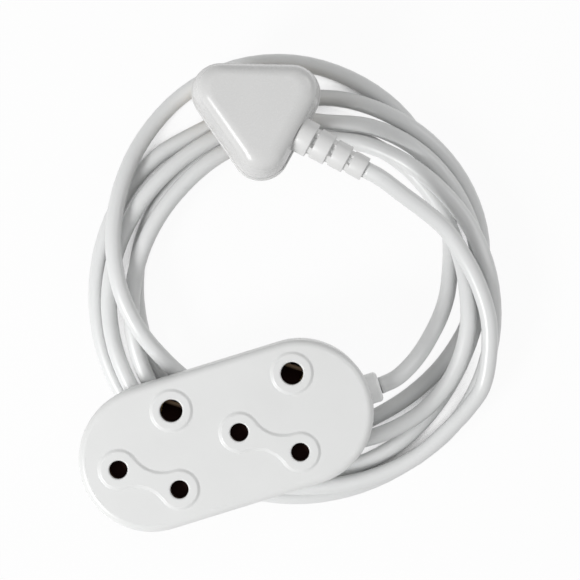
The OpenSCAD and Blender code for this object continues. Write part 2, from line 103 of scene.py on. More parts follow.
LOOP_RISE = [
    [5, 0, 0, 0, 0, 0, 0, 5, 12.5, 15.9, 13.5, 6.5, 7.3, 7.5, 7.5, 7.5, 8.2, 14.6],
    [13.9, 7.9, 5.5, 0, 0, 0, 0, 0, 0, 0, 0, 0, 0, 0, 0, 0, 0, 0],
    [0, 0, 6, 8, 0.5, 0, 0, 0, 0, 0, 0, 0, 0, 0, 0, 0, 0, 7],
    [15.2, 16.1, 16.1, 12.4, 10, 10, 9.5, 8.5, 7.5, 7.5, 7.4, 4.4, 0, 0, 0, 0, 0, 7.3],
    [7.5, 8, 11.3, 11, 7, 7, 6.5, 6.5, 5.5, 5.5, 7, 7.5, 7.5, 7.5, 7.5, 7.7, 9.4],
]
LEAD_ROUTE = [(71.5, 0.9, -0.8), (78.5, 3.8, -3.6), (85.5, 8.1, -8.6), (92, 13.3, -15), (97.5, 18.6, -19.4)]
TAIL_ROUTE = [
    (105.2, -14.6, -17), (111.5, -2.5, -13), (115.5, 12.5, -9), (115.5, 27, -7),
    (113, 40.5, -5), (109, 52.5, -2), (102.5, 62.5, 1.5), (96, 71, 4.5),
]
LYING_Z = FLOOR_Z + CORD_D / 2


def smooth(table, i, u):
    """Value of a smooth curve through the table, a share u of the way from entry i to the next."""
    b, c = table[i], table[i + 1]
    a = table[i - 1] if i > 0 else 2 * b - c
    d = table[i + 2] if i + 2 < len(table) else 2 * c - b
    return (
        (2 * u**3 - 3 * u**2 + 1) * b + (u**3 - 2 * u**2 + u) * (c - a) / 2
        + (3 * u**2 - 2 * u**3) * c + (u**3 - u**2) * (d - b) / 2
    )


RADII = sum(LOOP_RADIUS, [])
RISES = sum(LOOP_RISE, [])


def coil_point(turn):
    """Centre of the coiled cord after so many degrees round the coil."""
    s = turn / STATION
    i = min(int(s), len(RADII) - 2)
    r = smooth(RADII, i, s - i)
    a = math.radians(COIL_ZERO + turn)
    rise = max(smooth(RISES, i, s - i), 0)
    return Vector((COIL_AT[0] + r * math.cos(a), COIL_AT[1] + r * math.sin(a), LYING_Z + rise))


def place_plug(x, y, z):
    """A point of the plug's own frame, in millimetres of the row frame."""
    spin = Matrix.Rotation(PLUG_TURN, 4, "Z")
    return Vector(PLUG_AT) + spin @ Vector((x, y, z))


def cord_route():
    """Centreline from the gland's mouth round the coil to the strain relief's tip."""
    turns = (len(RADII) - 1) * STATION
    steps = round(turns * RINGS_A_TURN / 360)
    coil = [coil_point(turns * k / steps) for k in range(steps + 1)]
    way_in = (coil_point(1) - coil_point(0)).normalized()
    way_out = (coil_point(turns) - coil_point(turns - 1)).normalized()
    relief_end = RELIEF_X + RELIEF_L
    return (
        [Vector(GLAND_TIP)] + [Vector(p) for p in LEAD_ROUTE]
        + [coil[0] - CORD_D * way_in] + coil + [coil[-1] + CORD_D * way_out]
        + [Vector(p) for p in TAIL_ROUTE]
        + [place_plug(relief_end + CORD_D, 0, RELIEF_Z), place_plug(relief_end, 0, RELIEF_Z)]
    )


def curve_through(points, fine):
    """Points of a smooth curve through all the points, with centripetal knots."""
    padded = [2 * points[0] - points[1]] + points + [2 * points[-1] - points[-2]]
    found = []
    for p0, p1, p2, p3 in zip(padded, padded[1:], padded[2:], padded[3:]):
        t1 = (p1 - p0).length ** 0.5
        t2 = t1 + (p2 - p1).length ** 0.5
        t3 = t2 + (p3 - p2).length ** 0.5
        for k in range(fine):
            t = t1 + (t2 - t1) * k / fine
            a1 = p0 * ((t1 - t) / t1) + p1 * (t / t1)
            a2 = p1 * ((t2 - t) / (t2 - t1)) + p2 * ((t - t1) / (t2 - t1))
            a3 = p2 * ((t3 - t) / (t3 - t2)) + p3 * ((t - t2) / (t3 - t2))
            b1 = a1 * ((t2 - t) / t2) + a2 * (t / t2)
            b2 = a2 * ((t3 - t) / (t3 - t1)) + a3 * ((t - t1) / (t3 - t1))
            found.append(b1 * ((t2 - t) / (t2 - t1)) + b2 * ((t - t1) / (t2 - t1)))
    return found + [points[-1]]


def kept_up(points):
    """The points, none lower than a cord that lies on the floor."""
    return [Vector((p.x, p.y, max(p.z, LYING_Z))) for p in points]


def new_piece(name, mesh):
    """Links a mesh as a piece of the lead."""
    piece = bpy.data.objects.new(name, mesh)
    bpy.context.scene.collection.objects.link(piece)
    return piece


def baked(piece):
    """Turns a piece's modifiers into its own mesh."""
    bpy.context.view_layer.update()
    done = bpy.data.meshes.new_from_object(piece.evaluated_get(bpy.context.evaluated_depsgraph_get()))
    piece.modifiers.clear()
    piece.data = done


def weighted(piece):
    """Normals that follow the large faces and stay crisp at sharp edges, then every modifier applied."""
    weigh = piece.modifiers.new("normals", "WEIGHTED_NORMAL")
    weigh.keep_sharp = True
    baked(piece)


def hand_over(piece, *replaced):
    """Attaches the piece to the lead's body, which it moves with, and hides the nodes it stands for."""
    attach(piece, LEAD_BODY)
    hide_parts(*replaced)


def dress(piece, material):
    """Gives a piece one material."""
    piece.data.materials.clear()
    piece.data.materials.append(material)


def tube_mesh(name, path, radius, sides):
    """Tube along a path in millimetres, with UVs: U round the tube, V metres along it."""
    mesh = bpy.data.meshes.new(name)
    form = bmesh.new()
    uv = form.loops.layers.uv.new("UVMap")
    rings, lengths, run = [], [], 0
    side = None
    for i, at in enumerate(path):
        way = (path[min(i + 1, len(path) - 1)] - path[max(i - 1, 0)]).normalized()
        side = way.orthogonal() if side is None else side - way * side.dot(way)
        side.normalize()
        up = way.cross(side)
        around = []
        for k in range(sides):
            a = 2 * math.pi * k / sides
            around.append(form.verts.new((at + radius * (math.cos(a) * side + math.sin(a) * up)) * MM))
        rings.append(around)
        run += (at - path[i - 1]).length * MM if i else 0
        lengths.append(run)
    for i in range(len(rings) - 1):
        for k in range(sides):
            n = (k + 1) % sides
            face = form.faces.new((rings[i][k], rings[i][n], rings[i + 1][n], rings[i + 1][k]))
            face.smooth = True
            corners = ((k, i), (k + 1, i), (k + 1, i + 1), (k, i + 1))
            for loop, (u, v) in zip(face.loops, corners):
                loop[uv].uv = (u / sides, lengths[v])
    form.faces.new(list(reversed(rings[0])))
    form.faces.new(rings[-1])
    form.to_mesh(mesh)
    form.free()
    return mesh


def make_cord():
    """The whole cord, seen from end to end."""
    path = kept_up(curve_through(cord_route(), CORD_FINE))
    cord = new_piece("cord", tube_mesh("cord", path, CORD_D / 2, CORD_SIDES))
    hand_over(cord, "cord_lead", "cord_coil", "cord_tail")
    length = sum((b - a).length for a, b in zip(path, path[1:])) * MM
    return cord, [p * MM for p in path], length


make_camera()
cord, cord_path, cord_length = make_cord()


# ---- shader maths
class Wire:
    """A node socket that adds a Math node when it is added, multiplied or compared."""

    def __init__(self, tree, socket):
        self.tree = tree
        self.socket = socket

    def _with(self, kind, other):
        node = self.tree.nodes.new("ShaderNodeMath")
        node.operation = kind
        for k, value in enumerate((self, other)):
            if isinstance(value, Wire):
                self.tree.links.new(value.socket, node.inputs[k])
            else:
                node.inputs[k].default_value = value
        return Wire(self.tree, node.outputs[0])

    def __add__(self, other):
        return self._with("ADD", other)

    def __mul__(self, other):
        return self._with("MULTIPLY", other)

    __radd__ = __add__
    __rmul__ = __mul__

    def above(self, limit):
        """1 where the value is above the limit, 0 elsewhere."""
        return self._with("GREATER_THAN", limit)


class Finish:
    """One material: its tree, its Principled shader and short ways to add nodes."""

    def __init__(self, name):
        self.material = bpy.data.materials.new(name)
        self.material.use_nodes = True
        self.tree = self.material.node_tree
        self.shader = self.tree.nodes["Principled BSDF"]
        self.object = Wire(self.tree, self.node("ShaderNodeTexCoord").outputs["Object"])

    def node(self, kind, settings=None, **inputs):
        """A node with its settings first, then values or wires on its sockets."""
        node = self.tree.nodes.new(kind)
        for key, value in (settings or {}).items():
            setattr(node, key, value)
        for key, value in inputs.items():
            self.put(node.inputs[key.replace("_", " ")], value)
        return node

    def put(self, socket, value):
        """A wire or a plain value on a socket."""
        if isinstance(value, Wire):
            self.tree.links.new(value.socket, socket)
        else:
            socket.default_value = value

    def noise(self, scale, detail=3, rough=0.5, at=None):
        """Noise, 0 to 1, at so many cells a metre."""
        where = at or self.object
        node = self.node("ShaderNodeTexNoise", Scale=scale, Detail=detail, Roughness=rough, Vector=where)
        return Wire(self.tree, node.outputs["Fac"])

    def ramp(self, value, low, high, to_low=0.0, to_high=1.0):
        """Value stretched from low..high to to_low..to_high, and held there."""
        node = self.node("ShaderNodeMapRange", {"clamp": True})
        stops = {"Value": value, "From Min": low, "From Max": high, "To Min": to_low, "To Max": to_high}
        for key, v in stops.items():
            self.put(node.inputs[key], v)
        return Wire(self.tree, node.outputs[0])

    def mix(self, share, a, b):
        """Colour a to colour b by share."""
        node = self.node("ShaderNodeMix", {"data_type": "RGBA"})
        self.put(node.inputs[0], share)
        for socket, colour in ((node.inputs[6], a), (node.inputs[7], b)):
            self.put(socket, colour if isinstance(colour, Wire) else (*colour, 1))
        return Wire(self.tree, node.outputs[2])

    def attribute(self, name):
        """A number stored on the mesh."""
        node = self.node("ShaderNodeAttribute", {"attribute_name": name})
        return Wire(self.tree, node.outputs["Fac"])

    def stretched(self, scale):
        """Object coordinates multiplied by one number an axis."""
        return Wire(self.tree, self.node("ShaderNodeMapping", Vector=self.object, Scale=scale).outputs[0])

    def colour(self, value):
        """Base colour, plain or as a wire."""
        self.put(self.shader.inputs["Base Color"], value if isinstance(value, Wire) else (*value, 1))

    def set(self, key, value):
        """One of the shader's own sockets."""
        self.put(self.shader.inputs[key], value)

    def bump(self, height, depth):
        """Raises the surface by height times depth metres."""
        node = self.node("ShaderNodeBump", Height=height, Distance=depth, Strength=1.0)
        self.tree.links.new(node.outputs[0], self.shader.inputs["Normal"])


def shade(colour, share):
    """Colour made darker or lighter."""
    return tuple(c * share for c in colour)


# ---- finishes: colours, noise in cells a metre, bump depths in metres
CORD_TONE = (0.72, 0.727, 0.725)
BLOCK_TONE = (0.735, 0.74, 0.735)
PLUG_TONE = (0.645, 0.645, 0.64)
RELIEF_TONE = (0.71, 0.71, 0.705)
BRASS = (0.62, 0.43, 0.17)
STEEL = (0.56, 0.56, 0.57)
# dark brown painted down the bore walls as shade in the deep holes
BORE_SHADE_TONE = (0.06, 0.036, 0.022)
# lighter than the block: painted light that makes up for the block's shadow on the gland collar
COLLAR_LIT_TONE = (0.88, 0.885, 0.88)
SHUTTER_TONE = (0.018, 0.006, 0.0045)
# pale brown painted low on the shutter ramp as a highlight seen down the earth hole
RAMP_GLEAM_TONE = (0.78, 0.56, 0.37)
RAMP_GLEAM_Z = (0.0062, 0.0067)
FLOW_CELLS = 28
SPECK_CELLS = 1500
HANDLED_CELLS = 95
SHUTTER_CELLS = 1800
DRIFT_CELLS = 16
SCUFF_CELLS = 210
PORE_CELLS = 2600
TARNISH_CELLS = 260
CORE_CELLS = 900
DIE_LINES = (34, 3.2, 1)
FINE_GRAIN = 0.000014
GRAIN = 0.00002
COARSE_GRAIN = 0.00003
DIE_DEPTH = 0.000035
DRAWN_DEPTH = 0.00001
CORE_TONES = ((0.12, 0.035, 0.012), (0.015, 0.05, 0.25), (0.05, 0.2, 0.03))
CORE_SPLITS_Y = (-0.0035, 0.0025)


def moulded(name, colour, gloss, grain, depth=GRAIN, shaded_bores=False):
    """Injection moulded plastic: fine spark-eroded grain, slow flow marks, a few dull handling marks, and
    where asked painted shade down the bore walls.
    """
    finish = Finish(name)
    flow = finish.ramp(finish.noise(FLOW_CELLS, 4, 0.6), 0.3, 0.7)
    speck = finish.noise(SPECK_CELLS, 2)
    dull = finish.ramp(finish.noise(HANDLED_CELLS, 5, 0.65), 0.56, 0.74)
    grains = finish.noise(grain, 3, 0.6)
    tone = finish.mix(flow, shade(colour, 0.975), shade(colour, 1.012))
    tone = finish.mix(finish.ramp(speck, 0.62, 0.8) * 0.25, tone, shade(colour, 0.93))
    # painted shade: the bore walls tagged on the mesh turn dark brown
    if shaded_bores:
        tone = finish.mix(finish.attribute("bore_wall"), tone, BORE_SHADE_TONE)
    finish.colour(tone)
    finish.set("Roughness", gloss + dull * 0.12 + grains * 0.06)
    finish.bump(grains + dull * 0.15, depth)
    return finish.material


def shutter_plastic():
    """Dark brown shutter, near black on top, with a painted highlight: pale brown where its ramp runs down
    below the earth hole.
    """
    finish = Finish("shutter_dark")
    height = Wire(finish.tree, finish.node("ShaderNodeSeparateXYZ", Vector=finish.object).outputs["Z"])
    grain = finish.noise(SHUTTER_CELLS, 3, 0.6)
    # painted highlight: below this height the ramp turns pale brown
    low = finish.ramp(height, *RAMP_GLEAM_Z, 1.0, 0.0)
    dark = finish.mix(grain, shade(SHUTTER_TONE, 0.6), shade(SHUTTER_TONE, 1.4))
    finish.colour(finish.mix(low, dark, finish.mix(grain, shade(RAMP_GLEAM_TONE, 0.85), RAMP_GLEAM_TONE)))
    finish.set("Roughness", 0.55 + grain * 0.1)
    finish.set("Specular IOR Level", 0.06)
    finish.bump(grain, COARSE_GRAIN)
    return finish.material


def sheath():
    """PVC sheath: lengthwise die lines, a slow tone drift along the cord, faint scuffs."""
    finish = Finish("pvc_sheath")
    uv = Wire(finish.tree, finish.node("ShaderNodeUVMap", {"uv_map": "UVMap"}).outputs[0])
    along = finish.node("ShaderNodeMapping", Vector=uv, Scale=DIE_LINES)
    lines = finish.noise(1.0, 4, 0.6, at=Wire(finish.tree, along.outputs[0]))
    drift = finish.noise(DRIFT_CELLS, 3)
    scuff = finish.ramp(finish.noise(SCUFF_CELLS, 5, 0.7), 0.6, 0.76)
    pores = finish.noise(PORE_CELLS, 2)
    tone = finish.mix(drift, CORD_TONE, shade(CORD_TONE, 1.03))
    tone = finish.mix(scuff * 0.35, tone, shade(CORD_TONE, 0.9))
    finish.colour(tone)
    finish.set("Roughness", 0.28 + lines * 0.08 + scuff * 0.12)
    finish.bump(lines * 0.7 + pores * 0.5, DIE_DEPTH)
    return finish.material


def metal(name, colour, dark, rough, stretch):
    """Drawn or plated metal: fine lines, and tarnish in slow patches."""
    finish = Finish(name)
    lines = finish.noise(1.0, 3, 0.6, at=finish.stretched(stretch))
    tarnish = finish.ramp(finish.noise(TARNISH_CELLS, 5, 0.6), 0.45, 0.75)
    finish.colour(finish.mix(tarnish, colour, dark))
    finish.set("Metallic", 1.0)
    finish.set("Roughness", rough + lines * 0.12 + tarnish * 0.15)
    finish.bump(lines, DRAWN_DEPTH)
    return finish.material


def core_sheath():
    """Brown, blue and green cores side by side, told apart by where they lie across the lead."""
    finish = Finish("core_insulation")
    split = finish.node("ShaderNodeSeparateXYZ", Vector=finish.object)
    across = Wire(finish.tree, split.outputs["Y"])
    brown, blue, green = CORE_TONES
    tone = finish.mix(across.above(CORE_SPLITS_Y[0]), brown, blue)
    tone = finish.mix(across.above(CORE_SPLITS_Y[1]), tone, green)
    finish.colour(tone)
    finish.set("Roughness", 0.35 + finish.noise(CORE_CELLS) * 0.15)
    return finish.material


block_white = moulded("block_white", BLOCK_TONE, gloss=0.28, grain=2200)
# the cover's bore walls get dark brown painted shade
cover_white = moulded("cover_white", BLOCK_TONE, gloss=0.28, grain=2200, shaded_bores=True)
plug_white = moulded("plug_white", PLUG_TONE, gloss=0.24, grain=2600, depth=FINE_GRAIN)
relief_white = moulded("relief_white", RELIEF_TONE, gloss=0.34, grain=1800, depth=COARSE_GRAIN)
inner_white = moulded("inner_white", shade(BLOCK_TONE, 0.9), gloss=0.42, grain=1500, depth=COARSE_GRAIN)
shutter_dark = shutter_plastic()
# painted light: the collar is whiter than the block to offset the shade the block casts on it
collar_lit_white = moulded("collar_lit_white", COLLAR_LIT_TONE, gloss=0.34, grain=1800, depth=COARSE_GRAIN)
cord_white = sheath()
brass = metal("brass", BRASS, shade(BRASS, 0.6), rough=0.24, stretch=(120, 120, 5200))
zinc = metal("zinc_steel", STEEL, shade(STEEL, 0.7), rough=0.28, stretch=(900, 5200, 900))
spring_steel = metal("spring_steel", STEEL, shade(STEEL, 0.8), rough=0.22, stretch=(2200, 2200, 2200))
core_colours = core_sheath()
FINISHES = {
    "socket_white": block_white, "plug_white": plug_white, "relief_white": relief_white,
    "inner_plastic": inner_white, "shutter_dark": shutter_dark, "cord_white": cord_white,
    "brass": brass, "zinc_steel": zinc, "spring_steel": spring_steel, "core_insulation": core_colours,
}
dress(cord, cord_white)
for name, node in nodes.items():
    dress(node, FINISHES[slot_of[name]])


# ---- housings: a node with softened edges, or a shell drawn afresh
MERGE = 2e-6
FLAT_WITHIN = math.radians(0.5)
SOFT_FROM = math.radians(35)


def softened(name, node_name, width, segments, material):
    """A copy of a node's mesh with its doubles merged, its flats joined and its edges rounded."""
    mesh = nodes[node_name].data.copy()
    mesh.name = name
    form = bmesh.new()
    form.from_mesh(mesh)
    bmesh.ops.remove_doubles(form, verts=form.verts, dist=MERGE)
    bmesh.ops.dissolve_limit(form, angle_limit=FLAT_WITHIN, verts=form.verts, edges=form.edges)
    for face in form.faces:
        face.smooth = True
    form.to_mesh(mesh)
    form.free()
    piece = new_piece(name, mesh)
    bevel = piece.modifiers.new("edges", "BEVEL")
    bevel.width = width * MM
    bevel.segments = segments
    bevel.limit_method = "ANGLE"
    bevel.angle_limit = SOFT_FROM
    bevel.use_clamp_overlap = False
    weighted(piece)
    hand_over(piece, node_name)
    dress(piece, material)
    return piece


def finished(name, form, replaced, material, crease):
    """Piece made of a bmesh, with soft normals across its curves and crisp ones past an angle in degrees."""
    mesh = bpy.data.meshes.new(name)
    for face in form.faces:
        face.smooth = True
    form.to_mesh(mesh)
    form.free()
    mesh.set_sharp_from_angle(angle=math.radians(crease))
    piece = new_piece(name, mesh)
    weighted(piece)
    hand_over(piece, replaced)
    dress(piece, material)
    return piece


softened("socket_base", "block_base", width=0.3, segments=2, material=block_white)
collar = softened("cord_collar", "gland", width=0.35, segments=3, material=collar_lit_white)

# ---- socket cover: soft raised rims, rounded edge, six bores
BLOCK_L = 120
BLOCK_W = 58
BLOCK_TOP = 17
RIM_H = 0.8
FACE_Z = BLOCK_TOP - RIM_H
EDGE_ROUND = 3
WALL = 2.5
CEILING_Z = FACE_Z - 3
GUIDE_Z = 11
OUTLETS_X = (-25.9, 24.1)
OUTLET_OFF = 4.4
OUTLET_TURN = math.radians(-35.1)
HALF_PITCH = 12.7
LINE_Y = -14.3
EARTH_Y = 14.3
LINE_HOLE_R = 3.6
EARTH_HOLE_R = 4.45
LINE_RIM_R = 7.65
EARTH_RIM_R = 8.1
NECK_HALF = 3.5
RIM_SLOPE = 1.6
MOUTH = 0.7
CHIMNEY = 1.4
SEAM_Z = 0.02
SEAM_IN = 0.3
SEAM_UP = 0.35
ARC = 24
RIM_STEPS = 8
MOUTH_STEPS = 5
EDGE_STEPS = 8


def at_outlet(x, points):
    """Points of an outlet's own frame, placed on the block's face."""
    c, s = math.cos(OUTLET_TURN), math.sin(OUTLET_TURN)
    return [(x + px * c - py * s, OUTLET_OFF + px * s + py * c) for px, py in points]


def arc(cx, cy, radius, start, end, steps):
    """Points round an arc, in degrees, the last one left out."""
    turns = [math.radians(start + (end - start) * k / steps) for k in range(steps)]
    return [(cx + radius * math.cos(a), cy + radius * math.sin(a)) for a in turns]


def circle(centre, radius):
    """Points round a hole or its rim."""
    return arc(*centre, radius, 0, 360, 2 * ARC)


def oval(inset):
    """Outline of the block, drawn in by an inset."""
    reach = (BLOCK_L - BLOCK_W) / 2
    radius = BLOCK_W / 2 - inset
    return arc(reach, 0, radius, -90, 90, 2 * ARC) + [(reach, radius)] \
        + arc(-reach, 0, radius, 90, 270, 2 * ARC) + [(-reach, -radius)]


def waisted(grown):
    """Outline of a line rim, grown outwards: two round ends joined by a waist that curves in."""
    waist_r = (HALF_PITCH**2 + NECK_HALF**2 - LINE_RIM_R**2) / (2 * (LINE_RIM_R - NECK_HALF))
    waist_y = NECK_HALF + waist_r
    meet = math.degrees(math.atan2(waist_y, -HALF_PITCH))
    back = math.degrees(math.atan2(-waist_y, HALF_PITCH))
    half = arc(HALF_PITCH, 0, LINE_RIM_R + grown, -meet, meet, ARC)
    half += arc(0, waist_y, waist_r - grown, back, -180 - back, ARC // 2)
    whole = half + [(-x, -y) for x, y in half]
    return [(x, y + LINE_Y) for x, y in whole]


def ring(form, flat, z):
    """Closed ring of vertices at a height."""
    return [form.verts.new((x * MM, y * MM, z * MM)) for x, y in flat]


def skin(form, low, high):
    """Band of faces between two rings of equally many points."""
    made = []
    for k in range(len(low)):
        n = (k + 1) % len(low)
        made.append(form.faces.new((low[k], low[n], high[n], high[k])))
    return made


def plane_between(form, rings):
    """Flat surface with its outer edge and holes given as rings."""
    edges = []
    for loop in rings:
        for k, vert in enumerate(loop):
            pair = (vert, loop[(k + 1) % len(loop)])
            edges.append(form.edges.get(pair) or form.edges.new(pair))
    bmesh.ops.triangle_fill(form, edges=edges, use_beauty=True, use_dissolve=False, normal=(0, 0, 1))


def rim_slope(form, outline):
    """Soft slope up a rim: its foot ring and its top ring."""
    rings = []
    for k in range(RIM_STEPS + 1):
        share = k / RIM_STEPS
        z = FACE_Z + RIM_H * (1 - math.cos(math.pi * share)) / 2
        rings.append(ring(form, outline(RIM_SLOPE * (0.5 - share)), z))
    for low, high in zip(rings, rings[1:]):
        skin(form, low, high)
    return rings[0], rings[-1]


def bore(form, tag, centre, radius):
    """Hole with a rounded mouth and the tube below it: its mouth ring and its ring at the ceiling."""
    rings = []
    for k in range(MOUTH_STEPS + 1):
        a = math.pi / 2 * k / MOUTH_STEPS
        rings.append(ring(form, circle(centre, radius + MOUTH * (1 - math.sin(a))),
                          BLOCK_TOP - MOUTH * (1 - math.cos(a))))
    for high, low in zip(rings, rings[1:]):
        skin(form, low, high)
    foot = ring(form, circle(centre, radius), GUIDE_Z)
    # the tube's wall is tagged for dark brown painted shade
    for face in skin(form, foot, rings[-1]):
        face[tag] = 1.0
    outer = ring(form, circle(centre, radius + CHIMNEY), GUIDE_Z)
    skin(form, outer, foot)
    top = ring(form, circle(centre, radius + CHIMNEY), CEILING_Z)
    skin(form, top, outer)
    return rings[0], top


def make_cover():
    """Socket cover as one closed shell."""
    form = bmesh.new()
    tag = form.faces.layers.float.new("bore_wall")
    feet, ceilings = [], []
    for x in OUTLETS_X:
        mouths = []
        for side in (-1, 1):
            centre = at_outlet(x, [(side * HALF_PITCH, LINE_Y)])[0]
            mouth, high = bore(form, tag, centre, LINE_HOLE_R)
            mouths.append(mouth)
            ceilings.append(high)
        foot, top = rim_slope(form, lambda grown: at_outlet(x, waisted(grown)))
        plane_between(form, [top] + mouths)
        feet.append(foot)
        centre = at_outlet(x, [(0, EARTH_Y)])[0]
        mouth, high = bore(form, tag, centre, EARTH_HOLE_R)
        ceilings.append(high)
        foot, top = rim_slope(form, lambda grown: circle(centre, EARTH_RIM_R + grown))
        plane_between(form, [top, mouth])
        feet.append(foot)
    rows = []
    for k in range(EDGE_STEPS + 1):
        a = math.pi / 2 * k / EDGE_STEPS
        rows.append((EDGE_ROUND * (1 - math.sin(a)), FACE_Z - EDGE_ROUND * (1 - math.cos(a))))
    rows += [(0, SEAM_UP), (SEAM_IN, SEAM_Z), (WALL, SEAM_Z), (WALL, CEILING_Z)]
    walls = [ring(form, oval(inset), z) for inset, z in rows]
    for high, low in zip(walls, walls[1:]):
        skin(form, low, high)
    plane_between(form, [walls[0]] + feet)
    plane_between(form, [walls[-1]] + ceilings)
    bmesh.ops.recalc_face_normals(form, faces=form.faces)
    finished("socket_cover", form, "block_cover", cover_white, crease=38)


make_cover()

# ---- plug cap: stepped foot, drafted sides, rolled shoulder and a small flat top
PLUG_FLAT = 12.6
PLUG_HALF = 13
PLUG_CORNERS = [(-PLUG_FLAT, 0), (PLUG_FLAT, -PLUG_HALF), (PLUG_FLAT, PLUG_HALF)]
PLUG_CORNER_R = 11.9
PLUG_H = 22
FOOT_H = 6
CAP_R = 11.2
SHOULDER_Z = 17
SHOULDER_R = 9.4
TOP_R = 5.2
# how far each corner is drawn in at the top, and how far aside the flat top sits
TOP_PULLS = (1.4, 4.2, 3.8)
TOP_SHIFT = (0.9, 1.2)
SHOULDER_SHIFT = 0.5
# inset and height from the floor of the pin face's recess, round the foot, to the ledge below the cap
FOOT_ROWS = [
    (2.2, 2.5), (2.2, 0), (0.4, 0), (0.1, 0.1), (0, 0.4),
    (0, FOOT_H - 0.4), (0.12, FOOT_H - 0.1), (0.4, FOOT_H),
]
LEDGE_ROUND = (0.1, 0.15)
SIDE_BULGE = 0.6
POLE_MERGE = 1e-7
CORNER_STEPS = 16
SIDE_STEPS = 6
SHOULDER_STEPS = 14


def rounded_triangle(radius, z, drawn, shift):
    """Points round the plug's outline: corner radius, height, corners drawn in and moved aside."""
    points = []
    corners = []
    for (x, y), pull in zip(PLUG_CORNERS, TOP_PULLS):
        kept = 1 - drawn * pull / math.hypot(x, y)
        corners.append((x * kept + shift * TOP_SHIFT[0], y * kept + shift * TOP_SHIFT[1]))
    for i, (x, y) in enumerate(corners):
        before = corners[i - 1]
        after = corners[(i + 1) % len(corners)]
        start = math.atan2(y - before[1], x - before[0]) - math.pi / 2
        end = math.atan2(after[1] - y, after[0] - x) - math.pi / 2
        while end < start:
            end += 2 * math.pi
        for k in range(CORNER_STEPS + 1):
            a = start + (end - start) * k / CORNER_STEPS
            points.append((x + radius * math.cos(a), y + radius * math.sin(a), z))
    return points


def plug_rows():
    """Corner radius, height, share drawn in and shift of each row from the pin face to the flat top."""
    rows = [(PLUG_CORNER_R - inset, z, 0, 0) for inset, z in FOOT_ROWS]
    rows += [(CAP_R + LEDGE_ROUND[0], FOOT_H, 0, 0), (CAP_R, FOOT_H + LEDGE_ROUND[1], 0, 0)]
    for k in range(1, SIDE_STEPS):
        share = k / SIDE_STEPS
        bulge = SIDE_BULGE * math.sin(math.pi * share)
        rows.append((CAP_R + (SHOULDER_R - CAP_R) * share + bulge,
                     FOOT_H + (SHOULDER_Z - FOOT_H) * share, 0, SHOULDER_SHIFT * share**2))
    for k in range(SHOULDER_STEPS + 1):
        share = k / SHOULDER_STEPS
        a = math.pi / 2 * share
        shift = SHOULDER_SHIFT + (1 - SHOULDER_SHIFT) * share
        rows.append((TOP_R + (SHOULDER_R - TOP_R) * math.cos(a),
                     SHOULDER_Z + (PLUG_H - SHOULDER_Z) * math.sin(a), share**2, shift))
    return rows


def make_plug_cap():
    """Plug cap as one closed loft."""
    form = bmesh.new()
    rings = []
    for radius, z, drawn, shift in plug_rows():
        points = rounded_triangle(radius, z, drawn, shift)
        rings.append([form.verts.new(place_plug(*p) * MM) for p in points])
    for low, high in zip(rings, rings[1:]):
        skin(form, low, high)
    form.faces.new(list(reversed(rings[0])))
    form.faces.new(rings[-1])
    bmesh.ops.remove_doubles(form, verts=form.verts, dist=POLE_MERGE)
    bmesh.ops.recalc_face_normals(form, faces=form.faces)
    return finished("plug_cap", form, "plug_body", plug_white, crease=50)


plug_cap = make_plug_cap()

